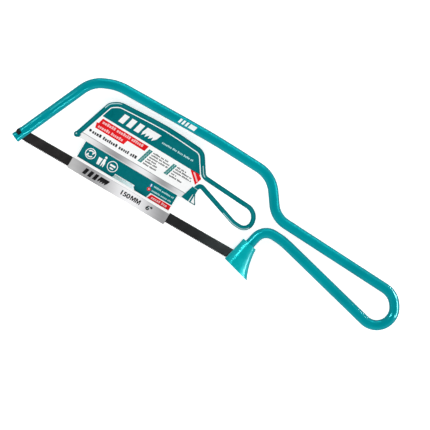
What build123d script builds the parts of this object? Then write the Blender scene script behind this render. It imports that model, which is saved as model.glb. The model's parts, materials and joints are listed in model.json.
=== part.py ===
from build123d import *
import os
from math import cos, radians, sin

os.makedirs("parts", exist_ok=True)

# Mini hacksaw with a one-piece rod frame, a pin-end blade and a printed display card.
# The saw lies on its side: +X runs from nose to handle, +Y from the teeth to the bow, +Z is up.
# Outlines are drawn on the saw's mid plane. Their zero is the point where the middle of the
# blade crosses the front leg.

# ---------------------------------------------------------------- driving dimensions (mm)
drawing_x = -118.11
drawing_y = -23.59
mid_height = 7.0

rod_radius = 3.0
nose_end = (-1.7, -3.8)
front_corner = (20.9, 46.5)
front_shoulder = (34.6, 52.0)
bar_crown = (98.0, 52.8)
rear_corner = (137.4, 51.0)
neck_corner = (151.0, 31.4)
loop_top = (232.0, 27.1)
loop_bottom = (249.7, -0.7)
hump_back = (161.0, 21.85)
hump_front = (148.4, 22.2)
rear_end = (142.6, -3.8)
bend_radii = [18.0, 28.0, 500.0, 18.0, 14.5, 12.0, 10.2, 45.0, 8.2]

flat_depth = 0.5
flat_length = 20.0
flat_runout = 8.0
saw_cut_width = 0.95
nose_cut_depth = 9.5
rear_cut_depth = 8.5
notch_clearance = 0.06
notch_mouth = 3.4

blade_front = -3.1
blade_rear = 146.9
blade_top = 3.35
blade_tips = -3.0
blade_thickness = 0.65
tooth_pitch = 25.4 / 24
tooth_depth = 0.5
blade_corner = (1.2, 2.0)
tooth_count = 128
first_tooth = 4.0
front_pin = (-1.1, 0.15)
rear_pin = (144.9, 0.15)
pin_radius = 1.1
pin_length = 4.8

guard_base = -2.1
guard_top = 14.85
guard_front = 5.1
guard_bore = rod_radius + 0.08
guard_sections = [
    (guard_base, guard_front, 13.15, 7.26),
    (4.0, 4.95, 9.05, 5.75),
    (8.6, 4.87, 6.8, 5.05),
    (guard_top, 4.85, 4.75, 4.7),
]
cavity_sections = [
    (guard_base, 4.0, 12.05, 6.3),
    (4.0, 3.85, 7.95, 4.65),
    (8.6, 3.75, 5.7, 3.95),
    (10.6, 3.7, 4.85, 3.8),
]
guard_front_low = -0.95
guard_back_low = -1.9
guard_slot_width = 1.6
guard_slot_top = 6.9

board = 0.3
card_corner = (33.0, -3.45)
card_tilt = -0.8
panel_back = -0.9
sleeve_middle = 0.75
sleeve_left = -0.25
sleeve_right = 64.1
sleeve_top = 8.3
tab_top = 10.35
tab_left = 25.9
tab_right = 38.0
tab_spread_left = 1.3
tab_spread_right = 1.8
band_left = 1.4
band_right = 62.6
picture_bottom = 18.3
picture_rod = 2.8

# ---------------------------------------------------------------- planes
saw = Plane(origin=(drawing_x, drawing_y, mid_height))


def on_saw(point):
    """A point of the drawing as a point of the part frame."""
    return saw.from_local_coords((point[0], point[1], 0))


leg_direction = (on_saw(front_corner) - on_saw(nose_end)).normalized()
rear_direction = (on_saw(hump_front) - on_saw(rear_end)).normalized()

# Local X runs up the rod from its end, and local Y points to the front of the saw.
nose = Plane(origin=on_saw(nose_end), x_dir=leg_direction, z_dir=(0, 0, 1))
rear = Plane(origin=on_saw(rear_end), x_dir=rear_direction, z_dir=(0, 0, 1))
# The same two ends seen from the front of the saw, with local Y across the rod's thickness.
nose_front = Plane(origin=on_saw(nose_end), x_dir=leg_direction, z_dir=nose.y_dir)
# Local Z runs up the rod, and local X points to the handle.
guard = Plane(origin=on_saw(rear_end), x_dir=-rear.y_dir, z_dir=rear_direction)

card = Plane(
    origin=on_saw(card_corner),
    x_dir=(cos(radians(card_tilt)), sin(radians(card_tilt)), 0),
    z_dir=(0, 0, 1),
)
# The card's section: local X runs up the card, and local Y through its thickness.
card_section = Plane(
    origin=card.from_local_coords((sleeve_left, 0, 0)), x_dir=card.y_dir, z_dir=card.x_dir
)


def pin_notch(end, pin, side):
    """Tapered flat-bottomed notch for a blade pin. side is +1 at the front, -1 at the rear."""
    seat = end.to_local_coords(on_saw(pin))
    reach = pin_radius + notch_clearance
    floor = seat.Y - side * reach
    mouth = side * (rod_radius + 1)
    Polygon(
        (seat.X - reach, floor),
        (seat.X + reach, floor),
        (seat.X + notch_mouth / 2, mouth),
        (seat.X - notch_mouth / 2, mouth),
        align=None,
    )


# ---------------------------------------------------------------- bow frame
# One steel rod: nose, front leg, bow, handle loop and rear end.
with BuildPart() as bow_frame:
    with BuildLine(saw) as rod_path:
        FilletPolyline(
            nose_end,
            front_corner,
            front_shoulder,
            bar_crown,
            rear_corner,
            neck_corner,
            loop_top,
            loop_bottom,
            hump_back,
            hump_front,
            rear_end,
            radius=bend_radii,
        )
    with BuildSketch(Plane(origin=rod_path.line @ 0, z_dir=rod_path.line % 0)):
        Circle(rod_radius)
    sweep()
    rod_ends = bow_frame.faces().filter_by(GeomType.PLANE).edges()
    chamfer(rod_ends, length=0.35)

    # Flats pressed on both sides of the nose, running out up the leg.
    with BuildSketch(nose_front):
        Polygon(
            (-1, rod_radius - flat_depth),
            (flat_length, rod_radius - flat_depth),
            (flat_length + flat_runout, rod_radius),
            (flat_length + flat_runout, rod_radius + 1),
            (-1, rod_radius + 1),
            align=None,
        )
        mirror(about=Plane.XZ)
    extrude(amount=rod_radius + 1, both=True, mode=Mode.SUBTRACT)

    # Saw cuts in both rod ends that the blade sits in.
    with BuildSketch(nose):
        with Locations((nose_cut_depth / 2 - 1, 0)):
            Rectangle(nose_cut_depth + 2, 4 * rod_radius)
    extrude(amount=saw_cut_width / 2, both=True, mode=Mode.SUBTRACT)
    with BuildSketch(rear):
        with Locations((rear_cut_depth / 2 - 1, 0)):
            Rectangle(rear_cut_depth + 2, 4 * rod_radius)
    extrude(amount=saw_cut_width / 2, both=True, mode=Mode.SUBTRACT)

    # Notches that hold the blade's pins against the pull of the sprung frame.
    with BuildSketch(nose):
        pin_notch(nose, front_pin, 1)
    extrude(amount=rod_radius + 1, both=True, mode=Mode.SUBTRACT)
    with BuildSketch(rear):
        pin_notch(rear, rear_pin, -1)
    extrude(amount=rod_radius + 1, both=True, mode=Mode.SUBTRACT)

# ---------------------------------------------------------------- blade and its pins
# The teeth point to the nose, so the saw cuts on the push stroke.
tips = [first_tooth + i * tooth_pitch for i in range(tooth_count)]
tooth_roots = blade_tips + tooth_depth
tooth_line = [
    (blade_front, tooth_roots + blade_corner[1]),
    (blade_front + blade_corner[0], tooth_roots),
]
for tip in tips:
    tooth_line.append((tip, tooth_roots))
    tooth_line.append((tip, blade_tips))
tooth_line.append((tips[-1] + tooth_pitch, tooth_roots))
tooth_line.append((blade_rear - blade_corner[0], tooth_roots))
tooth_line.append((blade_rear, tooth_roots + blade_corner[1]))
back_line = [
    (blade_rear, blade_top - blade_corner[1]),
    (blade_rear - blade_corner[0], blade_top),
    (blade_front + blade_corner[0], blade_top),
    (blade_front, blade_top - blade_corner[1]),
]

with BuildPart() as blade:
    with BuildSketch(saw.offset(-blade_thickness / 2)):
        with BuildLine():
            Polyline(*tooth_line, *back_line, close=True)
        make_face()
        with Locations(front_pin, rear_pin):
            Circle(pin_radius, mode=Mode.SUBTRACT)
    extrude(amount=blade_thickness)

with BuildPart() as front_blade_pin:
    with BuildSketch(saw.offset(-pin_length / 2)):
        with Locations(front_pin):
            Circle(pin_radius)
    extrude(amount=pin_length)
    chamfer(front_blade_pin.faces().filter_by(Axis.Z).edges(), length=0.2)

with BuildPart() as rear_blade_pin:
    with BuildSketch(saw.offset(-pin_length / 2)):
        with Locations(rear_pin):
            Circle(pin_radius)
    extrude(amount=pin_length)
    chamfer(rear_blade_pin.faces().filter_by(Axis.Z).edges(), length=0.2)


# ---------------------------------------------------------------- finger guard
def egg(front, back, half_width):
    """Two half ellipses that meet beside the rod: a blunt front and a long tail to the rear."""
    with BuildLine() as outline:
        EllipticalCenterArc((0, 0), back, half_width, start_angle=-90, arc_size=180)
        EllipticalCenterArc((0, 0), front, half_width, start_angle=90, arc_size=180)
    make_face(outline.edges())


# A thin flared bell round the rear end of the rod, open below and slotted for the blade.
with BuildPart() as finger_guard:
    for height, front, back, half_width in guard_sections:
        with BuildSketch(guard.offset(height)):
            egg(front, back, half_width)
    loft()
    fillet(finger_guard.faces().sort_by(Axis(guard.origin, guard.z_dir))[-1].edges(), radius=0.35)
    for height, front, back, half_width in cavity_sections:
        with BuildSketch(guard.offset(height)):
            egg(front, back, half_width)
    loft(mode=Mode.SUBTRACT)
    # The bell's mouth is cut off at a slant, lower at the back.
    with BuildSketch(rear):
        Polygon(
            (guard_front_low, guard_front),
            (guard_back_low, -guard_sections[0][2]),
            (guard_base - 1, -guard_sections[0][2]),
            (guard_base - 1, guard_front),
            align=None,
        )
    extrude(amount=guard_sections[0][3] + 1, both=True, mode=Mode.SUBTRACT)
    with BuildSketch(guard.offset(guard_top + 1)):
        Circle(guard_bore)
    extrude(amount=-8, mode=Mode.SUBTRACT)
    with BuildSketch(rear):
        with Locations(((guard_slot_top + guard_base) / 2 - 1, guard_front)):
            Rectangle(guard_slot_top - guard_base + 2, 2 * (guard_front - rod_radius))
    extrude(amount=guard_slot_width / 2, both=True, mode=Mode.SUBTRACT)

# ---------------------------------------------------------------- display card
# The panel is a picture of the saw on a board that hangs behind the blade and turns under the
# teeth. The sleeve is the same board on the other side of the crease.
with BuildPart() as label_panel:
    with BuildSketch(card.offset(panel_back)):
        with BuildLine():
            FilletPolyline(
                (-5.15, 19.6),
                (2.65, 43.6),
                (7.6, 46.85),
                (38.0, 48.75),
                (62.15, 47.2),
                (70.15, 35.4),
                (107.0, 33.4),
                (107.9, 21.2),
                (98.5, 21.4),
                (70.9, 30.3),
                (69.4, 26.5),
                radius=[5.0, 9.0, 150.0, 6.0, 4.0, 7.2, 5.0, 12.0, 2.0],
            )
        trace(line_width=picture_rod)
        Polygon(
            (-4.5, picture_bottom),
            (2.6, 42.4),
            (6.3, 45.8),
            (12.0, 47.0),
            (38.0, 48.4),
            (58.0, 47.2),
            (62.4, 45.2),
            (68.9, 35.6),
            (69.5, 34.0),
            (67.6, 27.4),
            (65.1, picture_bottom),
            align=None,
        )
        Polygon(
            (64.6, 18.9), (67.4, 27.6), (71.3, 27.4), (71.2, 24.2), (74.5, 18.8), (73.5, 18.1), align=None
        )
        with Locations((-5.2, 19.4)):
            Circle(1.8)
        Polygon(
            (band_left, sleeve_top),
            (band_left, picture_bottom + 1),
            (band_right, picture_bottom + 1),
            (band_right, sleeve_top),
            align=None,
        )
        Polygon(
            (sleeve_left, 0),
            (sleeve_left, sleeve_top),
            (sleeve_right, sleeve_top),
            (sleeve_right, 0),
            align=None,
        )
        # Slit that takes the sleeve's tab.
        with Locations(((tab_left + tab_right) / 2, tab_top + 0.1)):
            Rectangle(tab_right - tab_left + 0.8, 0.8, mode=Mode.SUBTRACT)
    extrude(amount=board)
    with BuildSketch(card.offset(panel_back)):
        Polygon((sleeve_left, 0), (sleeve_left, board), (sleeve_right, board), (sleeve_right, 0), align=None)
    extrude(amount=sleeve_middle - panel_back - board / 2 - 0.06)

with BuildPart() as label_sleeve:
    with BuildSketch(card_section):
        with BuildLine():
            FilletPolyline(
                (board / 2, sleeve_middle),
                (sleeve_top, sleeve_middle),
                (tab_top, -0.35),
                (tab_top, -1.5),
                radius=0.2,
            )
            offset(amount=board / 2)
        make_face()
    extrude(amount=sleeve_right - sleeve_left)
    with BuildSketch(card.offset(-4)):
        Polygon(
            (sleeve_left, -1),
            (sleeve_left, sleeve_top),
            (tab_left - tab_spread_left, sleeve_top),
            (tab_left, tab_top),
            (tab_left, tab_top + 1),
            (tab_right, tab_top + 1),
            (tab_right, tab_top),
            (tab_right + tab_spread_right, sleeve_top),
            (sleeve_right, sleeve_top),
            (sleeve_right, -1),
            align=None,
        )
    extrude(amount=8, mode=Mode.INTERSECT)

# ---------------------------------------------------------------- files
bow_frame.part.label = "bow_frame"
export_step(bow_frame.part, "parts/bow_frame.step")
blade.part.label = "blade"
export_step(blade.part, "parts/blade.step")
front_blade_pin.part.label = "front_blade_pin"
export_step(front_blade_pin.part, "parts/front_blade_pin.step")
rear_blade_pin.part.label = "rear_blade_pin"
export_step(rear_blade_pin.part, "parts/rear_blade_pin.step")
finger_guard.part.label = "finger_guard"
export_step(finger_guard.part, "parts/finger_guard.step")
label_panel.part.label = "label_panel"
export_step(label_panel.part, "parts/label_panel.step")
label_sleeve.part.label = "label_sleeve"
export_step(label_sleeve.part, "parts/label_sleeve.step")
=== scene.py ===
import json
import math
import random

import bmesh
import bpy
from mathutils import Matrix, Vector
from mathutils.bvhtree import BVHTree


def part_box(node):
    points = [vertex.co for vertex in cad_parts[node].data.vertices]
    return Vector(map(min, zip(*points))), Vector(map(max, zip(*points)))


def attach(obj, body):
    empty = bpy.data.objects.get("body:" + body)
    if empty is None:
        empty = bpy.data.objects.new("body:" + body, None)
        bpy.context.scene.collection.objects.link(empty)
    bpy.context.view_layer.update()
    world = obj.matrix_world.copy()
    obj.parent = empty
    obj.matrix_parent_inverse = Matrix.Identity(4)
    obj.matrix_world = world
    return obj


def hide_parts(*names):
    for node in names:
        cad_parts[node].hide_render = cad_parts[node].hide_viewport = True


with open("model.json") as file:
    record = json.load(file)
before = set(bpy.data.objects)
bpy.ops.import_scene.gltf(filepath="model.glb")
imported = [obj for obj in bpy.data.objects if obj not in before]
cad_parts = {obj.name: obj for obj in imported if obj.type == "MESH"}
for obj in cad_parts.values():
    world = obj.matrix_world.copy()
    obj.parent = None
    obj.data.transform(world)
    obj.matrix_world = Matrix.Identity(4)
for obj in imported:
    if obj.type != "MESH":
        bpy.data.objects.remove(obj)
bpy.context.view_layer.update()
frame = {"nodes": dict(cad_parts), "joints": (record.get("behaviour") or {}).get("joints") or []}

MM = 0.001
PIN_AHEAD, PIN_ABOVE = -1.1, 0.15
CREASE_ABOVE = 0.15
BOARD_THICKNESS = 0.3
INK_THICKNESS = 0.02

# ---------------------------------------------------------------- places taken from the CAD
# Drawing zero: 1.1 mm behind and 0.15 mm below the middle of the front pin.
pin_low, pin_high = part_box("front_blade_pin")
zero = (pin_low + pin_high) / 2 - Vector((PIN_AHEAD, PIN_ABOVE, 0)) * MM

# The card's own directions: u along the crease, v up the card from 0.15 mm below the crease.
joints = {joint["name"]: joint for joint in frame["joints"]}
crease = joints["sleeve_fold"]
card_u = Vector(crease["axis"]).normalized()
card_v = Vector((0, 0, 1)).cross(card_u)
card_zero = Vector(crease["pos_m"]) - card_v * CREASE_ABOVE * MM
panel_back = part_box("label_panel")[0].z
panel_front = panel_back + BOARD_THICKNESS * MM
sleeve_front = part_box("label_sleeve")[1].z


def saw_point(x, y, z=0.0):
    """A point of the saw's drawing, in mm, as a place in the scene."""
    return zero + Vector((x, y, z)) * MM


def card_point(u, v, height):
    """A point of the card in mm, at a height in metres."""
    place = card_zero + card_u * u * MM + card_v * v * MM
    return Vector((place.x, place.y, height))


# The ends of the front leg's middle line, and the saw cuts that hold the blade's ends.
LEG_FOOT = saw_point(-1.7, -3.8)
LEG_TOP = saw_point(20.9, 46.5)
NOSE_CUT = saw_point(-0.2, -1.0)
REAR_CUT = saw_point(143.3, -0.8)


# ---------------------------------------------------------------- node helpers
def linear(colour):
    """An 8-bit screen colour as the linear colour that nodes use."""
    result = []
    for value in colour:
        share = value / 255
        result.append(share / 12.92 if share <= 0.04045 else ((share + 0.055) / 1.055) ** 2.4)
    return (*result, 1.0)


class Finish:
    """A node material with one Principled shader and short calls for the nodes it needs."""

    def __init__(self, name):
        self.material = bpy.data.materials.new(name)
        self.material.use_nodes = True
        self.nodes = self.material.node_tree.nodes
        self.links = self.material.node_tree.links
        self.nodes.clear()
        self.shader = self.nodes.new("ShaderNodeBsdfPrincipled")
        output = self.nodes.new("ShaderNodeOutputMaterial")
        self.link(self.shader.outputs["BSDF"], output.inputs["Surface"])
        self.place = self.nodes.new("ShaderNodeTexCoord").outputs["Object"]

    def link(self, source, target):
        self.links.new(source, target)

    def put(self, socket, value):
        """Sets a socket to a value, or links it where the value is another node's output."""
        if isinstance(value, bpy.types.NodeSocket):
            self.link(value, socket)
        else:
            socket.default_value = value

    def noise(self, scale, detail=3.0, roughness=0.5, stretch=None):
        """Noise from 0 to 1. scale is features per metre, and stretch scales the axes."""
        node = self.nodes.new("ShaderNodeTexNoise")
        node.inputs["Scale"].default_value = scale
        node.inputs["Detail"].default_value = detail
        node.inputs["Roughness"].default_value = roughness
        place = self.place
        if stretch is not None:
            mapping = self.nodes.new("ShaderNodeMapping")
            mapping.inputs["Scale"].default_value = stretch
            self.link(place, mapping.inputs["Vector"])
            place = mapping.outputs["Vector"]
        self.link(place, node.inputs["Vector"])
        return node.outputs["Fac"]

    def along(self, origin, direction):
        """Distance in mm of the surface from a point, along a direction."""
        shift = self.nodes.new("ShaderNodeVectorMath")
        shift.operation = "SUBTRACT"
        self.link(self.place, shift.inputs[0])
        shift.inputs[1].default_value = origin
        dot = self.nodes.new("ShaderNodeVectorMath")
        dot.operation = "DOT_PRODUCT"
        self.link(shift.outputs["Vector"], dot.inputs[0])
        dot.inputs[1].default_value = Vector(direction) / MM
        return dot.outputs["Value"]

    def distance(self, point):
        """Distance in mm of the surface from a point."""
        node = self.nodes.new("ShaderNodeVectorMath")
        node.operation = "DISTANCE"
        self.link(self.place, node.inputs[0])
        node.inputs[1].default_value = point
        return self.math("MULTIPLY", node.outputs["Value"], 1 / MM)

    def math(self, operation, first, second=0.0):
        node = self.nodes.new("ShaderNodeMath")
        node.operation = operation
        self.put(node.inputs[0], first)
        self.put(node.inputs[1], second)
        return node.outputs["Value"]

    def spread(self, value, low, high, to_low=0.0, to_high=1.0, smooth=True):
        """Maps low to high onto to_low to to_high, and holds the ends."""
        node = self.nodes.new("ShaderNodeMapRange")
        node.interpolation_type = "SMOOTHSTEP" if smooth else "LINEAR"
        node.clamp = True
        self.link(value, node.inputs["Value"])
        node.inputs["From Min"].default_value = low
        node.inputs["From Max"].default_value = high
        node.inputs["To Min"].default_value = to_low
        node.inputs["To Max"].default_value = to_high
        return node.outputs["Result"]

    def mix(self, share, first, second):
        """Mix of two colours."""
        node = self.nodes.new("ShaderNodeMix")
        node.data_type = "RGBA"
        self.put(node.inputs[0], share)
        self.put(node.inputs[6], first)
        self.put(node.inputs[7], second)
        return node.outputs[2]

    def tones(self, value, stops):
        """Grey tones along a value: a list of places and 8-bit greys, with smooth steps between."""
        colour = linear((stops[0][1],) * 3)
        for (start, _), (end, grey) in zip(stops, stops[1:]):
            colour = self.mix(self.spread(value, start, end), colour, linear((grey, grey, grey + 2)))
        return colour

    def bump(self, height, strength, distance, normal=None):
        """Bump from a height of 0 to 1. distance is the full height in mm."""
        node = self.nodes.new("ShaderNodeBump")
        node.inputs["Strength"].default_value = strength
        node.inputs["Distance"].default_value = distance * MM
        self.link(height, node.inputs["Height"])
        if normal is not None:
            self.link(normal, node.inputs["Normal"])
        return node.outputs["Normal"]

    def finish(self, colour, roughness, normal, metallic=0.0, specular=0.5, tint=(1.0, 1.0, 1.0)):
        self.put(self.shader.inputs["Base Color"], colour)
        self.put(self.shader.inputs["Roughness"], roughness)
        self.put(self.shader.inputs["Metallic"], metallic)
        self.shader.inputs["Specular IOR Level"].default_value = specular
        self.shader.inputs["Specular Tint"].default_value = (*tint, 1.0)
        self.link(normal, self.shader.inputs["Normal"])
        return self.material


def dress(item, material):
    """Gives a mesh one material."""
    item.data.materials.clear()
    item.data.materials.append(material)


# ---------------------------------------------------------------- materials
def rod_paint():
    """Gloss enamel on the rod: slight cloudiness, orange peel, and rubbed edges at the saw cuts."""
    f = Finish("teal_enamel")
    cloud = f.noise(45, 2.0)
    colour = f.mix(f.spread(cloud, 0.3, 0.7), linear((0, 134, 144)), linear((0, 145, 155)))
    near_nose = f.spread(f.distance(NOSE_CUT), 3.0, 8.0, 1.0, 0.0)
    near_rear = f.spread(f.distance(REAR_CUT), 3.0, 8.0, 1.0, 0.0)
    near_ends = f.math("MAXIMUM", near_nose, near_rear)
    scuffs = f.spread(f.noise(1500, 4.0, 0.65), 0.62, 0.68, 0.0, 0.7)
    worn = f.math("MULTIPLY", near_ends, scuffs)
    colour = f.mix(worn, colour, linear((58, 62, 64)))
    roughness = f.spread(f.noise(160, 3.0), 0.3, 0.7, 0.13, 0.2)
    # The long edges of the nose's flats are rounded under the paint.
    up_leg = LEG_TOP - LEG_FOOT
    off_middle = f.math("ABSOLUTE", f.along(LEG_FOOT, Vector((up_leg.y, -up_leg.x, 0)).normalized()))
    pressed = f.spread(f.along(LEG_FOOT, up_leg.normalized()), 19.0, 27.0, 1.0, 0.0)
    crown = f.math("MULTIPLY", pressed, f.spread(off_middle, 1.05, 1.85, 1.0, 0.0))
    crease = f.bump(crown, 1.0, 0.22)
    peel = f.bump(f.noise(420, 1.5, 0.4), 0.25, 0.012, crease)
    grain = f.bump(f.noise(2600, 2.0), 0.15, 0.003, peel)
    return f.finish(colour, roughness, grain, specular=0.2, tint=(0.08, 0.97, 1.0))


def guard_plastic():
    """Bright moulded plastic with faint flow marks and a fine moulded skin."""
    f = Finish("teal_moulded_plastic")
    flow = f.noise(90, 3.0, 0.6, (1.0, 0.35, 1.0))
    colour = f.mix(f.spread(flow, 0.3, 0.7), linear((0, 156, 162)), linear((1, 168, 174)))
    roughness = f.spread(f.noise(300, 3.0), 0.3, 0.7, 0.2, 0.32)
    skin = f.bump(f.noise(1500, 2.0), 0.2, 0.004)
    return f.finish(colour, roughness, skin, specular=0.3, tint=(0.1, 1.0, 1.0))


def blade_paint():
    """Thin black stove enamel on spring steel, rubbed to bare metal at the tips of the teeth. Painted
    light makes the enamel lighter towards the rear.
    """
    f = Finish("black_blade_enamel")
    cloud = f.noise(70, 4.0, 0.6, (0.35, 1.0, 1.0))
    # Painted light: the enamel is painted darker at the front and lighter towards the rear.
    painted_light_to_rear = f.spread(f.along(zero, (1, 0, 0)), 20, 110)
    deep = f.mix(painted_light_to_rear, linear((20, 20, 20)), linear((25, 24, 25)))
    light = f.mix(painted_light_to_rear, linear((26, 26, 26)), linear((32, 31, 32)))
    colour = f.mix(f.spread(cloud, 0.3, 0.7), deep, light)
    height = f.along(zero, (0, 1, 0))
    tips = f.spread(height, -3.0, -2.65, 1.0, 0.0)
    bare = f.math("MULTIPLY", tips, f.spread(f.noise(1400, 3.0), 0.42, 0.6))
    colour = f.mix(bare, colour, linear((120, 120, 124)))
    rolled = f.noise(900, 3.0, 0.5, (0.05, 1.0, 1.0))
    roughness = f.spread(f.noise(220, 3.0), 0.3, 0.7, 0.3, 0.4)
    normal = f.bump(rolled, 0.3, 0.01)
    return f.finish(colour, roughness, normal, metallic=0.1, specular=0.4)


def pin_steel():
    """Cropped wire with turning marks across it, stoved black together with the blade."""
    f = Finish("pin_steel")
    cloud = f.noise(900, 3.0)
    colour = f.mix(cloud, linear((12, 13, 15)), linear((22, 23, 25)))
    rubbed = f.spread(f.noise(2200, 3.0), 0.62, 0.7)
    colour = f.mix(rubbed, colour, linear((52, 53, 56)))
    lines = f.noise(2500, 2.0, 0.5, (1.0, 1.0, 0.1))
    roughness = f.spread(lines, 0.3, 0.7, 0.3, 0.45)
    return f.finish(colour, roughness, f.bump(lines, 0.3, 0.01), metallic=0.1, specular=0.3)


def fibres(f, strength=0.2):
    """Faint fibre relief of coated card."""
    coarse = f.bump(f.noise(350, 3.0, 0.6), strength, 0.03)
    return f.bump(f.noise(2400, 3.0, 0.6, (1.0, 0.45, 1.0)), strength, 0.006, coarse)


def board_white():
    """Coated white board with a barely warm tone."""
    f = Finish("white_coated_board")
    cloud = f.noise(55, 3.0)
    speck = f.spread(f.noise(3200, 2.0), 0.66, 0.74)
    colour = f.mix(f.spread(cloud, 0.3, 0.7), linear((250, 251, 251)), linear((254, 255, 255)))
    colour = f.mix(f.math("MULTIPLY", speck, 0.25), colour, linear((205, 206, 204)))
    roughness = f.spread(f.noise(240, 3.0), 0.3, 0.7, 0.28, 0.38)
    return f.finish(colour, roughness, fibres(f), specular=0.35)


def board_sleeve():
    """Board printed silver with soft diagonal sheens, a white strip above and a light tab."""
    f = Finish("silver_printed_board")
    u = f.along(card_zero, card_u)
    v = f.along(card_zero, card_v)
    slant = f.math("ADD", u, f.math("MULTIPLY", v, 0.4))
    silver = f.tones(slant, [(0, 188), (14.5, 150), (41.4, 247), (64, 150)])
    grain = f.noise(600, 3.0, 0.5, (0.08, 1.0, 1.0))
    silver = f.mix(f.spread(grain, 0.3, 0.7, 0.0, 0.06), silver, linear((240, 240, 241)))
    line = f.math("MULTIPLY", f.spread(v, 6.72, 6.78), f.spread(v, 6.86, 6.92, 1.0, 0.0))
    colour = f.mix(line, silver, linear((176, 176, 178)))
    white = f.math("MULTIPLY", f.spread(v, 6.86, 6.92), f.spread(v, 8.28, 8.34, 1.0, 0.0))
    colour = f.mix(white, colour, linear((248, 249, 249)))
    tab_tone = f.tones(u, [(25.5, 150), (38.5, 215)])
    colour = f.mix(f.spread(v, 8.3, 8.36), colour, tab_tone)
    height = f.along((0, 0, sleeve_front), (0, 0, 1))
    inside = f.spread(height, -0.06, -0.04, 1.0, 0.0)
    below_tab = f.spread(v, 8.0, 8.2, 1.0, 0.0)
    inside = f.math("MULTIPLY", inside, below_tab)
    colour = f.mix(inside, colour, linear((226, 226, 222)))
    roughness = f.spread(f.noise(260, 3.0), 0.3, 0.7, 0.3, 0.42)
    return f.finish(colour, roughness, fibres(f), specular=0.45)


def ink(name, colour, change=0.06, roughness=0.28):
    """Printed ink on coated board: a slightly uneven layer that follows the fibres below."""
    f = Finish(name)
    full = linear(colour)
    light = tuple(min(1.0, c * (1 + change) + 0.004) for c in full[:3]) + (1.0,)
    dark = tuple(c * (1 - change) for c in full[:3]) + (1.0,)
    cloud = f.mix(f.spread(f.noise(120, 4.0, 0.6), 0.3, 0.7), dark, light)
    dots = f.spread(f.noise(4200, 1.0), 0.62, 0.72)
    tone = f.mix(f.math("MULTIPLY", dots, 0.12), cloud, light)
    rough = f.spread(f.noise(260, 3.0), 0.3, 0.7, roughness - 0.05, roughness + 0.06)
    peak = max(full[:3])
    tint = tuple(c / peak for c in full[:3])
    return f.finish(tone, rough, fibres(f, 0.15), specular=0.25, tint=tint)


def ink_silver():
    """The printed blade: silver with darker reflections and a light lower edge."""
    f = Finish("ink_silver_blade")
    u = f.along(card_zero, card_u)
    v = f.along(card_zero, card_v)
    tone = f.tones(u, [(0, 240), (20.3, 148), (38, 241), (52, 150), (64, 226)])
    tone = f.mix(f.spread(v, 21.5, 21.7), tone, linear((150, 151, 153)))
    tone = f.mix(f.spread(v, 19.3, 18.7, 0.0, 0.6), tone, linear((240, 240, 240)))
    grain = f.noise(500, 3.0, 0.5, (0.06, 1.0, 1.0))
    tone = f.mix(f.spread(grain, 0.3, 0.7, 0.0, 0.08), tone, linear((245, 245, 245)))
    rough = f.spread(f.noise(260, 3.0), 0.3, 0.7, 0.3, 0.4)
    return f.finish(tone, rough, fibres(f, 0.15), specular=0.45)


teal_enamel = rod_paint()
moulded_teal = guard_plastic()
black_enamel = blade_paint()
steel = pin_steel()
white_board = board_white()
silver_board = board_sleeve()
teal_ink = ink("ink_teal", (0, 108, 114))
teal_light_ink = ink("ink_teal_light", (8, 121, 126))
cell_ink = ink("ink_cell_teal", (40, 128, 124))
outline_ink = ink("ink_outline_teal", (50, 112, 116))
red_ink = ink("ink_red", (226, 28, 34))
pink_ink = ink("ink_pale_red", (246, 188, 190))
white_ink = ink("ink_white", (248, 249, 249), 0.02)
pale_ink = ink("ink_pale_blue", (176, 214, 216))
dark_ink = ink("ink_dark_grey", (50, 52, 54))
black_ink = ink("ink_black", (14, 14, 15))
grey_ink = ink("ink_grey", (60, 62, 64))
blue_ink = ink("ink_blue", (70, 120, 178))
silver_ink = ink_silver()
paint_mark = ink("pad_print_white", (238, 246, 246), 0.03, 0.3)

dress(frame["nodes"]["bow_frame"], teal_enamel)
dress(frame["nodes"]["finger_guard"], moulded_teal)
dress(frame["nodes"]["front_blade_pin"], steel)
dress(frame["nodes"]["rear_blade_pin"], steel)
dress(frame["nodes"]["label_panel"], white_board)
dress(frame["nodes"]["label_sleeve"], silver_board)


# ---------------------------------------------------------------- mesh helpers
def mesh_object(name, bm, material, body):
    """Closes a bmesh into a piece that rides on a body."""
    bmesh.ops.recalc_face_normals(bm, faces=bm.faces)
    mesh = bpy.data.meshes.new(name)
    bm.to_mesh(mesh)
    bm.free()
    item = bpy.data.objects.new(name, mesh)
    bpy.context.scene.collection.objects.link(item)
    dress(item, material)
    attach(item, body)
    return item


def rounded(points, radii, step=6.0):
    """An open path with its inner corners rounded."""
    path = [Vector(points[0])]
    for i in range(1, len(points) - 1):
        corner = Vector(points[i])
        back = (Vector(points[i - 1]) - corner).normalized()
        ahead = (Vector(points[i + 1]) - corner).normalized()
        turn = math.pi - back.angle(ahead)
        reach = radii[i - 1] * math.tan(turn / 2)
        start = corner + back * reach
        centre = corner + (back + ahead).normalized() * (radii[i - 1] / math.cos(turn / 2))
        side = 1 if back.x * ahead.y - back.y * ahead.x < 0 else -1
        count = max(2, int(math.degrees(turn) / step) + 1)
        arm = start - centre
        for k in range(count + 1):
            angle = side * turn * k / count
            cos, sin = math.cos(angle), math.sin(angle)
            path.append(centre + Vector((arm.x * cos - arm.y * sin, arm.x * sin + arm.y * cos)))
    path.append(Vector(points[-1]))
    return path


def beside(path, distance):
    """The path moved sideways, to its left for a distance above 0."""
    moved = []
    for i, point in enumerate(path):
        before = path[max(0, i - 1)]
        after = path[min(len(path) - 1, i + 1)]
        along = (after - before).normalized()
        moved.append(point + Vector((-along.y, along.x)) * distance)
    return moved


def band(path, width, shift=0.0):
    """The outline of a stripe of that width along a path."""
    left = beside(path, shift + width / 2)
    right = beside(path, shift - width / 2)
    return [tuple(p) for p in left] + [tuple(p) for p in reversed(right)]


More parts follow.
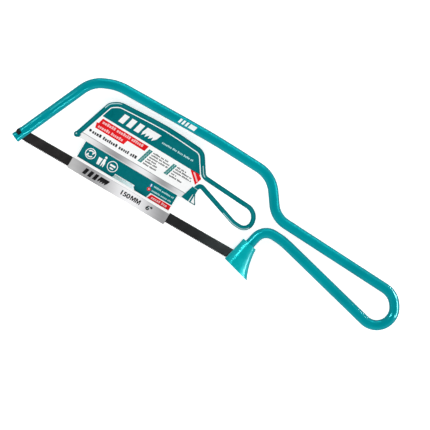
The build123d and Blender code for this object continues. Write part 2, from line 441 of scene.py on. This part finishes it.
def part_of(path, start, end):
    """The stretch of a path between two shares of its length."""
    lengths = [0.0]
    for a, b in zip(path, path[1:]):
        lengths.append(lengths[-1] + (b - a).length)
    total = lengths[-1]
    low, high = start * total, end * total
    kept = []
    for i in range(len(path) - 1):
        a, b = lengths[i], lengths[i + 1]
        if b < low or a > high or b - a < 1e-9:
            continue
        for at in (max(a, low), min(b, high)):
            point = path[i].lerp(path[i + 1], (at - a) / (b - a))
            if not kept or (point - kept[-1]).length > 1e-4:
                kept.append(point)
    return kept


def disc(u, v, radius, count=28):
    """A round outline."""
    turns = [2 * math.pi * k / count for k in range(count)]
    return [(u + radius * math.cos(t), v + radius * math.sin(t)) for t in turns]


def arc_band(u, v, outer, inner, start, end, count=16):
    """Part of a ring between two angles in degrees."""
    turns = [math.radians(start + (end - start) * k / count) for k in range(count + 1)]
    far = [(u + outer * math.cos(t), v + outer * math.sin(t)) for t in turns]
    near = [(u + inner * math.cos(t), v + inner * math.sin(t)) for t in reversed(turns)]
    return far + near


def ring(u, v, outer, inner):
    """A whole ring, as two halves."""
    return [arc_band(u, v, outer, inner, 0, 180), arc_band(u, v, outer, inner, 180, 360)]


def slanted(u0, u1, v0, v1, lean=0.0):
    """A bar whose top stands lean mm further right than its bottom."""
    return [(u0, v0), (u1, v0), (u1 + lean, v1), (u0 + lean, v1)]


def prism(bm, top, bottom):
    """The faces between two outlines that stand one above the other."""
    bm.faces.new(top)
    bm.faces.new(list(reversed(bottom)))
    for i in range(len(top)):
        k = (i + 1) % len(top)
        bm.faces.new((bottom[i], bottom[k], top[k], top[i]))


def printed(name, shapes, layer, material, body, base, side=1):
    """A thin layer of ink on the card. base is the board's surface, and layer counts up from it."""
    bm = bmesh.new()
    height = base + side * INK_THICKNESS * MM * layer
    for shape in shapes:
        top = [bm.verts.new(card_point(u, v, height)) for u, v in shape]
        bottom = [bm.verts.new(card_point(u, v, base)) for u, v in shape]
        prism(bm, top, bottom)
    return mesh_object(name, bm, material, body)


def on_panel(name, shapes, layer, material):
    """Ink on the panel's front."""
    printed(name, shapes, layer, material, "card", panel_front)


def on_back(name, shapes, layer, material):
    """Ink on the panel's back."""
    printed(name, shapes, layer, material, "card", panel_back, -1)


def word_blocks(u0, u1, v0, height, seed, lean=0.0, letter=0.62):
    """A line of small blocks in word-like groups that stands for a line of lettering."""
    chance = random.Random(seed)
    blocks = []
    u = u0
    left = chance.randint(3, 8)
    while u + letter * height * 0.8 <= u1:
        wide = height * letter * chance.uniform(0.75, 1.15)
        tall = height if chance.random() < 0.35 else height * 0.78
        blocks.append(slanted(u, min(u + wide, u1), v0, v0 + tall, lean * tall))
        u += wide + height * 0.2
        left -= 1
        if left == 0:
            u += height * 0.5
            left = chance.randint(3, 8)
    return blocks


def emblem(u0, u1, v0, height):
    """A made-up mark: three leaning bars, then a short block of saw blade with its teeth down."""
    unit = (u1 - u0) / 10.8
    lean = height * 0.25
    shapes = []
    for i in range(3):
        start = u0 + i * 2.15 * unit
        shapes.append(slanted(start, start + 1.35 * unit, v0, v0 + height, lean))
    left = u0 + 6.4 * unit
    right = u1 - lean
    middle = v0 + height * 0.4
    teeth = 4
    pitch = (right - left) / teeth
    block = [(left + lean, v0 + height), (left, middle)]
    for i in range(teeth):
        block.append((left + i * pitch + 0.03, v0))
        block.append((left + (i + 1) * pitch - 0.02, middle))
    block.append((u1, v0 + height))
    shapes.append(block)
    return shapes


# ---------------------------------------------------------------- blade
# Fine teeth with rounded gullets. The toothed edge is waved from side to side, so that the cut
# is wider than the blade.
BLADE_FRONT = -3.1
BLADE_REAR = 146.9
BLADE_TOP = 3.35
BLADE_FOOT = -2.5
CORNER = (1.2, 2.0)
HALF_THICKNESS = 0.325
PITCH = 25.4 / 24
FIRST_TIP = 4.0
TEETH = 128
WAVE_LENGTH = 9 * PITCH
WAVE_HEIGHT = 0.1
WAVE_TOP = -1.5
WAVE_ENDS = (2.0, 141.0)
BACK_EASE = 0.06
PIN_SPACING = 146.0
PIN_PLACES = ((PIN_AHEAD, PIN_ABOVE), (PIN_AHEAD + PIN_SPACING, PIN_ABOVE))
PIN_RADIUS = 1.1
# One tooth's corners: past its tip in pitches and in mm, and their height.
TOOTH = (
    (-0.22, 0.0, -2.53),
    (-0.07, 0.0, -2.5),
    (0.0, 0.0, -2.58),
    (0.0, -0.02, -2.98),
    (0.0, 0.04, -3.0),
    (0.3, 0.0, -2.83),
    (0.6, 0.0, -2.64),
)


def tooth_edge():
    """The blade's lower edge from front to rear."""
    edge = [(BLADE_FRONT, BLADE_FOOT), (BLADE_FRONT + CORNER[0], BLADE_FOOT)]
    for i in range(TEETH):
        tip = FIRST_TIP + i * PITCH
        for share, past, height in TOOTH:
            edge.append((tip + share * PITCH + past, height))
    return edge + [(BLADE_REAR - CORNER[0], BLADE_FOOT), (BLADE_REAR, BLADE_FOOT)]


def in_outline(x, y):
    """A height between the blade's edges, drawn in where the blade's ends taper."""
    share = max(0.0, 1 - (x - BLADE_FRONT) / CORNER[0], 1 - (BLADE_REAR - x) / CORNER[0])
    middle = (BLADE_TOP + BLADE_FOOT) / 2
    half = (BLADE_TOP - BLADE_FOOT) / 2
    return middle + (y - middle) * (half - share * CORNER[1]) / half


def waved(x, y):
    """Sideways set of the toothed edge."""
    share = max(0.0, min(1.0, (WAVE_TOP - y) / 1.3))
    ends = max(0.0, min(1.0, (x - WAVE_ENDS[0]) / 6.0)) * max(0.0, min(1.0, (WAVE_ENDS[1] - x) / 6.0))
    return WAVE_HEIGHT * share * ends * math.sin(2 * math.pi * (x - FIRST_TIP) / WAVE_LENGTH)


def build_blade():
    """The blade: two faces of columns between its edges, with holes for the pins."""
    bm = bmesh.new()
    edge = tooth_edge()
    rows = [WAVE_TOP, 0.0, BLADE_TOP - 0.25, BLADE_TOP]
    front, back = [], []
    for x, y in edge:
        heights = [y, *rows]
        for side, store in ((1, front), (-1, back)):
            column = []
            for h in heights:
                thick = HALF_THICKNESS - (BACK_EASE if h == BLADE_TOP else 0.0)
                place = saw_point(x, in_outline(x, h), side * thick + waved(x, h))
                column.append(bm.verts.new(place))
            store.append(column)
    for i in range(len(edge) - 1):
        for k in range(len(rows)):
            bm.faces.new((front[i][k], front[i + 1][k], front[i + 1][k + 1], front[i][k + 1]))
            bm.faces.new((back[i][k + 1], back[i + 1][k + 1], back[i + 1][k], back[i][k]))
        bm.faces.new((front[i][0], back[i][0], back[i + 1][0], front[i + 1][0]))
        bm.faces.new((front[i + 1][-1], back[i + 1][-1], back[i][-1], front[i][-1]))
    for column_front, column_back in ((front[0], back[0]), (front[-1], back[-1])):
        for k in range(len(rows)):
            bm.faces.new((column_front[k], column_front[k + 1], column_back[k + 1], column_back[k]))
    item = mesh_object("hacksaw_blade", bm, black_enamel, "frame")
    # Holes that the pins are pressed into.
    bm = bmesh.new()
    for pin_x, pin_y in PIN_PLACES:
        outline = disc(pin_x, pin_y, PIN_RADIUS, 32)
        top = [bm.verts.new(saw_point(x, y, 1.5)) for x, y in outline]
        bottom = [bm.verts.new(saw_point(x, y, -1.5)) for x, y in outline]
        prism(bm, top, bottom)
    cutter = mesh_object("hole_cutter", bm, black_enamel, "frame")
    cut = item.modifiers.new("pin_holes", "BOOLEAN")
    cut.operation = "DIFFERENCE"
    cut.solver = "EXACT"
    cut.object = cutter
    bpy.context.view_layer.update()
    done = bpy.data.meshes.new_from_object(item.evaluated_get(bpy.context.evaluated_depsgraph_get()))
    item.modifiers.clear()
    item.data = done
    bpy.data.objects.remove(cutter)
    return item


blade = build_blade()
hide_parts("blade")


# ---------------------------------------------------------------- print on the panel
# The panel is a picture of the saw. ROD_PATH is the middle of the printed rod.
ROD_POINTS = [
    (-5.15, 19.6),
    (2.65, 43.6),
    (7.6, 46.85),
    (38.0, 48.75),
    (62.15, 47.2),
    (70.15, 35.4),
    (107.0, 33.4),
    (107.9, 21.2),
    (98.5, 21.4),
    (70.9, 30.3),
    (69.4, 26.5),
]
ROD_PATH = rounded(ROD_POINTS, [5.0, 9.0, 150.0, 6.0, 4.0, 7.2, 5.0, 12.0, 2.0])
ROD_WIDTH = 2.78
ROD_NOSE = disc(-5.2, 19.4, 1.78)
ROD_FOOT = [(-5.8, 18.2), (-3.3, 18.35), (-2.8, 20.2), (-5.2, 20.2)]
GUARD_SHAPE = [(64.9, 18.95), (67.45, 27.5), (71.1, 27.3), (71.1, 24.2), (71.0, 18.6)]
BLADE_SHAPE = [(-4.2, 18.35), (64.85, 18.35), (65.7, 21.95), (-3.0, 21.95)]
BAND_LEFT, BAND_RIGHT = 1.42, 62.58
BAND_FOOT, BAND_TOP = 8.32, 18.4
SLIT_LEFT, SLIT_RIGHT = 25.45, 38.45
HEADER_FOOT = 35.75
HEADER_SLOPE = -0.5 / 67.0
HEADER_GAP = 2.04


def header_shape():
    """The header inside the printed bow, cut off straight along its lower edge."""
    arch = beside(part_of(ROD_PATH, 0.0, 0.6), -HEADER_GAP)
    kept = []
    for a, b in zip(arch, arch[1:]):
        over_a = a.y - HEADER_FOOT - HEADER_SLOPE * a.x
        over_b = b.y - HEADER_FOOT - HEADER_SLOPE * b.x
        if (over_a < 0) != (over_b < 0):
            kept.append(a.lerp(b, over_a / (over_a - over_b)))
        if over_b >= 0:
            kept.append(b)
        elif kept:
            break
    return [tuple(p) for p in kept]


def band_pieces(slit_top):
    """The coloured band below the printed saw, left of, right of and above the slit."""
    return [
        slanted(BAND_LEFT, SLIT_LEFT, BAND_FOOT, BAND_TOP),
        slanted(SLIT_RIGHT, BAND_RIGHT, BAND_FOOT, BAND_TOP),
        slanted(SLIT_LEFT, SLIT_RIGHT, slit_top, BAND_TOP),
    ]


def print_panel():
    """The panel's front: a picture of the saw, a header, a banner, lists and signs."""
    on_panel("print_header", [header_shape()], 1, teal_ink)
    below_slit = slanted(SLIT_LEFT, SLIT_RIGHT, BAND_FOOT, 10.03)
    on_panel("print_lower_band", [*band_pieces(10.87), below_slit], 1, teal_ink)

    on_panel("print_blade", [BLADE_SHAPE], 1, silver_ink)
    nicks = []
    for i in range(86):
        u = 1.9 + i * 0.7
        nicks.append([(u, 18.3), (u + 0.3, 18.3), (u + 0.15, 18.72)])
    on_panel("print_blade_teeth", nicks, 2, teal_ink)

    bow_print = band(part_of(ROD_PATH, 0.02, 0.53), ROD_WIDTH + 0.08, -0.04)
    on_panel("print_rod", [band(ROD_PATH, ROD_WIDTH)], 2, teal_ink)
    on_panel("print_rod_bow", [bow_print], 1, teal_ink)
    on_panel("print_rod_nose", [ROD_NOSE], 3, teal_ink)
    on_panel("print_rod_foot", [ROD_FOOT], 4, teal_ink)
    on_panel("print_guard", [GUARD_SHAPE], 4, teal_ink)
    strip = [(69.55, 18.75), (70.1, 18.75), (70.1, 23.6), (69.85, 23.6)]
    on_panel("print_guard_strip", [strip], 5, white_ink)
    outline = [
        [(71.05, 24.3), (74.15, 18.9), (73.6, 18.7), (71.05, 23.2)],
        [(71.0, 18.65), (74.1, 18.65), (73.9, 19.1), (71.0, 19.1)],
    ]
    on_panel("print_guard_outline", outline, 4, outline_ink)

    shine = [band(part_of(ROD_PATH, 0.02, 0.97), 0.7, 0.05)]
    on_panel("print_rod_shine", shine, 4, teal_light_ink)
    glints = [
        band(part_of(ROD_PATH, 0.118, 0.172), 0.5, 0.5),
        band(part_of(ROD_PATH, 0.503, 0.54), 0.5, 0.0),
        band(part_of(ROD_PATH, 0.775, 0.87), 0.4, 0.75),
        [(67.5, 27.5), (71.1, 27.3), (71.1, 27.05), (67.4, 27.25)],
        disc(-5.7, 19.5, 0.42),
    ]
    on_panel("print_rod_glints", glints, 5, pale_ink)

    banner = [
        (3.2, 34.6),
        (34.1, 34.2),
        (33.2, 30.7),
        (21.8, 30.8),
        (20.9, 27.8),
        (1.9, 27.9),
        (1.2, 31.0),
        (2.4, 31.2),
    ]
    flash = [(61.3, 35.3), (67.0, 35.5), (69.6, 33.5), (68.2, 28.85)]
    ticket = [(49.3, 11.3), (BAND_RIGHT, 11.3), (BAND_RIGHT, 8.4), (48.2, 8.4)]
    on_panel("print_red", [banner, flash], 1, red_ink)
    ticket_edge = [(48.6, 11.8), (BAND_RIGHT, 11.8), (BAND_RIGHT, 8.35), (47.5, 8.35)]
    on_panel("print_ticket_edge", [ticket_edge], 2, white_ink)
    on_panel("print_ticket", [ticket], 3, red_ink)

    on_panel("print_emblem", emblem(11.4, 37.2, 37.75, 5.55), 2, white_ink)
    on_panel("print_tagline", word_blocks(39.6, 60.3, 39.6, 1.15, 5), 2, pale_ink)
    banner_words = word_blocks(4.2, 32.8, 32.0, 1.7, 11, 0.1)
    banner_words += word_blocks(3.0, 20.2, 28.8, 1.65, 12, 0.1)
    on_panel("print_banner_words", banner_words, 2, pink_ink)
    flash_stripe = [(63.6, 34.6), (64.5, 35.0), (68.6, 31.4), (68.3, 30.5)]
    on_panel("print_flash_words", [flash_stripe], 2, pink_ink)
    on_panel("print_ticket_words", word_blocks(50.2, 61.4, 9.1, 1.5, 13, 0.1), 4, pink_ink)

    on_panel("print_bullet", [disc(0.45, 25.2, 0.8)], 1, dark_ink)
    on_panel("print_bullet_words", word_blocks(1.9, 32.0, 24.2, 1.85, 21), 1, dark_ink)

    # Two leaning columns of small signs, each with a line of words on its right.
    cells = []
    top_v, wide, gap = 33.1, 2.4, 0.05
    for top_u, foot_u, foot_v, count in ((35.2, 32.5, 23.9, 6), (51.4, 49.0, 25.4, 5)):
        tall = (top_v - foot_v) / count
        lean = (top_u - foot_u) / (top_v - foot_v)
        for i in range(count):
            v = foot_v + i * tall
            u = foot_u + lean * (v - foot_v)
            cells.append(slanted(u, u + wide, v + gap, v + tall - gap, lean * (tall - 2 * gap)))
    on_panel("print_feature_cells", cells, 1, cell_ink)
    marks = []
    for shape in cells:
        middle_u = sum(p[0] for p in shape) / 4
        middle_v = sum(p[1] for p in shape) / 4
        marks.append(disc(middle_u, middle_v, 0.34, 12))
    on_panel("print_feature_marks", marks, 2, pale_ink)
    rows = [
        (38.3, 48.2, 32.0),
        (38.0, 49.8, 30.5),
        (37.4, 49.8, 28.9),
        (36.9, 42.8, 27.3),
        (36.5, 44.2, 25.8),
        (36.0, 45.0, 24.1),
        (54.2, 60.3, 32.0),
        (53.9, 65.0, 30.5),
        (53.3, 65.2, 28.9),
        (53.0, 56.7, 27.3),
        (52.6, 61.3, 25.7),
    ]
    lines = []
    for i, (start, end, v) in enumerate(rows):
        lines += word_blocks(start, end, v - 0.1, 0.95, 40 + i)
    on_panel("print_feature_words", lines, 1, grey_ink)

    # Round signs and a figure with a bin.
    person = [(15.6, 15.1), (16.9, 15.3), (17.5, 12.6), (17.3, 10.4)]
    person += [(16.8, 10.4), (16.5, 12.6), (16.0, 10.4), (15.5, 10.4)]
    icons = ring(7.4, 13.6, 3.2, 2.75) + ring(22.0, 13.6, 3.2, 2.75)
    icons += [
        arc_band(7.4, 13.6, 2.15, 1.4, 50, 150),
        arc_band(7.4, 13.6, 2.15, 1.4, 230, 330),
        [(8.4, 13.4), (10.0, 15.4), (8.0, 15.9)],
        [(6.4, 13.8), (4.8, 11.8), (6.8, 11.3)],
        [(12.6, 14.6), (15.0, 14.6), (14.6, 10.4), (13.0, 10.4)],
        disc(16.4, 16.2, 0.7, 16),
        person,
        [(20.3, 14.6), (23.7, 14.6), (23.7, 13.5), (20.3, 13.5)],
        [(20.7, 12.7), (23.3, 12.7), (22.9, 11.9), (21.1, 11.9)],
    ]
    on_panel("print_icons", icons, 2, white_ink)
    on_panel("print_dot_blue", [disc(46.7, 15.8, 0.95, 20)], 2, blue_ink)
    blue_middle = slanted(46.45, 46.95, 15.0, 16.6)
    on_panel("print_dot_blue_middle", [blue_middle], 3, white_ink)
    on_panel("print_dot_red", [disc(46.6, 13.3, 1.1, 20)], 2, red_ink)
    red_middle = [(46.3, 12.8), (47.1, 13.3), (46.3, 13.8)]
    on_panel("print_dot_red_middle", [red_middle], 3, white_ink)
    links = word_blocks(48.5, 61.8, 15.5, 1.0, 61) + word_blocks(48.5, 61.8, 12.9, 1.0, 62)
    on_panel("print_band_words", links, 2, pale_ink)


def print_back():
    """The other side of the panel: the same picture in outline, with plain lines of words."""
    on_back("back_header", [header_shape()], 1, teal_ink)
    on_back("back_band", band_pieces(12.2), 1, teal_ink)
    on_back("back_rod", [band(ROD_PATH, ROD_WIDTH)], 2, teal_ink)
    on_back("back_rod_nose", [ROD_NOSE], 3, teal_ink)
    on_back("back_guard", [GUARD_SHAPE], 4, teal_ink)
    on_back("back_blade", [BLADE_SHAPE], 1, silver_ink)
    lines = []
    for i, v in enumerate((33.4, 31.4, 29.4, 27.4, 25.4, 23.6)):
        lines += word_blocks(3.4 - 0.28 * (33.4 - v), 61.0 - 4.0 * (i % 3), v, 1.0, 80 + i)
    on_back("back_words", lines, 1, grey_ink)


# How bold numbers are: their outline's growth, then the second outline's shift and lift in mm.
BOLD_OFFSET = 0.022
BOLD_SHIFT = 0.2
BOLD_LIFT = 0.004


def flat_text(name, text, u, end, v, height, material, body, base):
    """Plain bold numbers printed on the card from u to end, with their foot at v."""
    curve = bpy.data.curves.new(name, "FONT")
    curve.body = text
    curve.size = 1.0
    curve.offset = BOLD_OFFSET
    holder = bpy.data.objects.new(name + "_curve", curve)
    bpy.context.scene.collection.objects.link(holder)
    bpy.context.view_layer.update()
    flat = bpy.data.meshes.new_from_object(holder.evaluated_get(bpy.context.evaluated_depsgraph_get()))
    bpy.data.objects.remove(holder)
    bm = bmesh.new()
    bm.from_mesh(flat)
    bpy.data.meshes.remove(flat)
    bmesh.ops.remove_doubles(bm, verts=bm.verts, dist=1e-5)
    top = max(p.co.y for p in bm.verts)
    start = min(p.co.x for p in bm.verts)
    stretch = (end - BOLD_SHIFT - u) / (max(p.co.x for p in bm.verts) - start)
    for p in bm.verts:
        p.co = card_point(u + (p.co.x - start) * stretch, v + p.co.y * height / top, base)
    made = bmesh.ops.extrude_face_region(bm, geom=list(bm.faces))
    for p in (g for g in made["geom"] if isinstance(g, bmesh.types.BMVert)):
        p.co.z += INK_THICKNESS * MM
    # The same outline again, a little to the right, makes the strokes bold.
    again = bmesh.ops.duplicate(bm, geom=list(bm.verts) + list(bm.edges) + list(bm.faces))
    for p in (g for g in again["geom"] if isinstance(g, bmesh.types.BMVert)):
        p.co.x += BOLD_SHIFT * MM
        p.co.z += BOLD_LIFT * MM
    return mesh_object(name, bm, material, body)


def letter_m(u, v, wide, tall):
    """The outline of a bold M, for millimetres."""
    shape = [(0.0, 0.0), (0.0, 1.0), (0.3, 1.0), (0.5, 0.42)]
    shape += [(0.7, 1.0), (1.0, 1.0), (1.0, 0.0), (0.8, 0.0)]
    shape += [(0.8, 0.68), (0.57, 0.0), (0.43, 0.0), (0.2, 0.68), (0.2, 0.0)]
    return [(u + wide * x, v + tall * y) for x, y in shape]


def print_sleeve():
    """The sleeve's front: the mark and the blade's length in two units."""
    base = sleeve_front
    body = "sleeve"
    printed("sleeve_emblem", emblem(8.7, 25.4, 1.65, 3.7), 1, black_ink, body, base)
    flat_text("sleeve_size_metric", "150", 33.8, 39.7, 2.4, 2.75, black_ink, body, base)
    unit = [letter_m(40.15, 2.4, 3.0, 2.75), letter_m(43.4, 2.4, 3.0, 2.75)]
    printed("sleeve_size_unit", unit, 1, black_ink, body, base)
    flat_text("sleeve_size_inch", '6"', 50.4, 54.1, 2.35, 2.8, black_ink, body, base)


print_panel()
print_back()
print_sleeve()


# ---------------------------------------------------------------- emblem on the bow
def build_bow_emblem():
    """A small white emblem printed on the top bar, wrapped to the round of the rod."""
    node = frame["nodes"]["bow_frame"]
    tree = BVHTree.FromPolygons(
        [v.co.copy() for v in node.data.vertices], [tuple(p.vertices) for p in node.data.polygons]
    )

    def lifted(x, y, lift):
        """The rod's surface at x and y, moved outwards by lift mm."""
        place, normal, _, _ = tree.ray_cast(saw_point(x, y, 6), Vector((0, 0, -1)))
        return place + normal * lift * MM

    bm = bmesh.new()
    bars = [(74.9, 1.3), (77.1, 1.3), (79.3, 1.3), (81.5, 4.2)]
    foot, tall, lean = 50.9, 2.7, 0.28
    above, below = 0.03, -0.02
    rows = 8
    for left, wide in bars:
        columns = round(wide / 0.4)
        outer, inner = [], []
        for i in range(columns + 1):
            out_line, in_line = [], []
            for k in range(rows + 1):
                y = foot + tall * k / rows
                x = left + wide * i / columns + lean * (y - foot)
                out_line.append(bm.verts.new(lifted(x, y, above)))
                in_line.append(bm.verts.new(lifted(x, y, below)))
            outer.append(out_line)
            inner.append(in_line)
        for i in range(columns):
            for k in range(rows):
                bm.faces.new((outer[i][k], outer[i + 1][k], outer[i + 1][k + 1], outer[i][k + 1]))
                bm.faces.new((inner[i][k + 1], inner[i + 1][k + 1], inner[i + 1][k], inner[i][k]))
            bm.faces.new((outer[i][0], inner[i][0], inner[i + 1][0], outer[i + 1][0]))
            bm.faces.new((outer[i + 1][rows], inner[i + 1][rows], inner[i][rows], outer[i][rows]))
        for k in range(rows):
            bm.faces.new((outer[0][k], outer[0][k + 1], inner[0][k + 1], inner[0][k]))
            outer_edge = (outer[columns][k + 1], outer[columns][k])
            bm.faces.new((*outer_edge, inner[columns][k], inner[columns][k + 1]))
    return mesh_object("bow_emblem", bm, paint_mark, "frame")


build_bow_emblem()

# ---------------------------------------------------------------- floor, light and camera
# White paper that takes soft shadows and shows to the camera only.
FLOOR_REACH = 6
bm = bmesh.new()
corners = slanted(-FLOOR_REACH, FLOOR_REACH, -FLOOR_REACH, FLOOR_REACH)
bm.faces.new([bm.verts.new((x, y, 0)) for x, y in corners])
floor_mesh = bpy.data.meshes.new("floor")
bm.to_mesh(floor_mesh)
bm.free()
floor = bpy.data.objects.new("floor", floor_mesh)
bpy.context.scene.collection.objects.link(floor)
paper = Finish("studio_paper")
paper_tone = paper.mix(paper.noise(3, 2.0), linear((249, 249, 249)), linear((251, 251, 251)))
paper_normal = paper.bump(paper.noise(400, 2.0), 0.05, 0.05)
dress(floor, paper.finish(paper_tone, 0.9, paper_normal, specular=0.1))
paper.shader.inputs["Emission Color"].default_value = (1.0, 1.0, 1.0, 1.0)
paper.shader.inputs["Emission Strength"].default_value = 0.55
floor.visible_glossy = False
floor.visible_diffuse = False


def gloss_panel(name, aim, azimuth, elevation, distance, across, up, radiance, red=1.0, spread=180):
    """A panel of light that shows in the gloss of the paint only.

    It faces the point aim of the saw's drawing. azimuth is measured from +X to +Y, and both angles
    and the spread of the beam are in degrees. across and up are the panel's sides in metres, and
    red scales the red part of its light.
    """
    turn, rise = math.radians(azimuth), math.radians(elevation)
    away = Vector((math.cos(rise) * math.cos(turn), math.cos(rise) * math.sin(turn), math.sin(rise)))
    data = bpy.data.lights.new(name, "AREA")
    data.shape = "RECTANGLE"
    data.size = across
    data.size_y = up
    # The power that gives this radiance within the beam.
    half = math.radians(min(spread, 179) / 2)
    data.energy = radiance * math.pi * across * up * (1 - half / math.tan(half))
    data.color = (red, 1.0, 1.0)
    data.spread = math.radians(spread)
    item = bpy.data.objects.new(name, data)
    bpy.context.scene.collection.objects.link(item)
    item.location = saw_point(*aim) + away * distance
    item.rotation_euler = (-away).to_track_quat("-Z", "Y").to_euler()
    item.visible_diffuse = False
    item.visible_camera = False


# Two wide panels give the rod its light edge along the bow, and one lights its rear shoulder.
gloss_panel("bow_low_panel", (80, 52), 103, 6, 0.8, 0.75, 0.22, 13, red=0.03)
gloss_panel("bow_high_panel", (80, 52), 103, 27, 0.8, 0.75, 0.26, 7, red=0.03)
gloss_panel("shoulder_panel", (143, 43), 35, 14, 0.6, 0.4, 0.3, 14, red=0.15)

# The bright streaks on the finger guard, its flare and the rod above it.
STREAK_TURNS = ((173, 57), (160, 57), (146, 55), (134, 52))
for i, (azimuth, elevation) in enumerate(STREAK_TURNS):
    name = f"guard_panel_{i}"
    gloss_panel(name, (146.5, 5), azimuth, elevation, 0.11, 0.0225, 0.0225, 48, red=0.7, spread=27)
gloss_panel("guard_wing_panel", (153.5, -3), 28, 36, 0.1, 0.016, 0.018, 20, red=0.3, spread=30)
gloss_panel("rear_leg_panel", (147.2, 18.5), 167, 51, 0.06, 0.012, 0.02, 80, red=2.2, spread=44)

# The curved streak round the outside of the handle's rear bend, and the glint inside it.
BEND_CENTRE = (227.5, 15.8)
BEND_RADIUS = 11
BEND_TURNS = ((72, 3), (57, 5), (41, 14), (24, 19), (8, 21))
for i, (azimuth, elevation) in enumerate(BEND_TURNS):
    turn = math.radians(azimuth)
    spot_x = BEND_CENTRE[0] + BEND_RADIUS * math.cos(turn)
    spot_y = BEND_CENTRE[1] + BEND_RADIUS * math.sin(turn)
    name = f"loop_panel_{i}"
    gloss_panel(name, (spot_x, spot_y), azimuth, elevation, 0.1, 0.03, 0.018, 125, red=2.0, spread=60)
gloss_panel("loop_inner_panel", (236.5, 15.6), 180, 51, 0.1, 0.02, 0.02, 130, red=2.0, spread=50)

# The thin lines along both edges of the nose's flat.
gloss_panel("nose_right_panel", (2, 4), -24, 46, 0.3, 0.06, 0.12, 95, red=1.5, spread=18)
gloss_panel("nose_left_panel", (2, 4), 156, 46, 0.3, 0.06, 0.12, 60, red=1.5, spread=18)

# A white tent round the object, bright low down and open to a dark ceiling above the camera.
world = bpy.data.worlds.new("studio")
world.use_nodes = True
tent = world.node_tree
background = tent.nodes["Background"]
direction = tent.nodes.new("ShaderNodeTexCoord")
split = tent.nodes.new("ShaderNodeSeparateXYZ")
ramp = tent.nodes.new("ShaderNodeValToRGB")
tent.links.new(direction.outputs["Generated"], split.inputs["Vector"])
height = tent.nodes.new("ShaderNodeMapRange")
height.inputs["From Min"].default_value = -1.0
height.inputs["From Max"].default_value = 1.0
tent.links.new(split.outputs["Z"], height.inputs["Value"])
tent.links.new(height.outputs["Result"], ramp.inputs["Fac"])
# The tent is darker on its left side.
leftward = tent.nodes.new("ShaderNodeVectorMath")
leftward.operation = "DOT_PRODUCT"
leftward.inputs[1].default_value = (-1.0, 0.15, 0.0)
tent.links.new(direction.outputs["Generated"], leftward.inputs[0])
flag = tent.nodes.new("ShaderNodeMapRange")
flag.inputs["From Min"].default_value = 0.35
flag.inputs["From Max"].default_value = 0.95
flag.inputs["To Min"].default_value = 1.0
flag.inputs["To Max"].default_value = 0.6
tent.links.new(leftward.outputs["Value"], flag.inputs["Value"])
shaded = tent.nodes.new("ShaderNodeVectorMath")
shaded.operation = "SCALE"
tent.links.new(ramp.outputs["Color"], shaded.inputs["Vector"])
tent.links.new(flag.outputs["Result"], shaded.inputs["Scale"])
tent.links.new(shaded.outputs["Vector"], background.inputs["Color"])
# Brightness from straight below, at 0, to straight above, at 1.
levels = [(0.0, 0.12), (0.46, 0.3), (0.52, 0.85), (0.72, 0.85), (0.86, 0.42), (0.97, 0.1)]
while len(ramp.color_ramp.elements) < len(levels):
    ramp.color_ramp.elements.new(0.5)
for element, (place, level) in zip(ramp.color_ramp.elements, levels):
    element.position = place
    element.color = (level, level, level, 1.0)
background.inputs["Strength"].default_value = 2.3
bpy.context.scene.world = world
bpy.context.scene.view_settings.view_transform = "Standard"

# The camera looks straight down on the saw's side from far away, turned about its own axis.
sensor_width = 36
camera_distance = 3.0
picture_width = 0.24725
camera_turn = 29.94
camera_data = bpy.data.cameras.new("camera")
camera_data.sensor_width = sensor_width
camera_data.lens = sensor_width * camera_distance / picture_width
camera_data.clip_start = 0.1
camera_data.clip_end = 20
camera = bpy.data.objects.new("camera", camera_data)
bpy.context.scene.collection.objects.link(camera)
picture_centre = saw_point(120.18, 15.2)
camera.location = picture_centre + Vector((0, 0, camera_distance))
camera.rotation_euler = (0, 0, math.radians(camera_turn))
bpy.context.scene.camera = camera
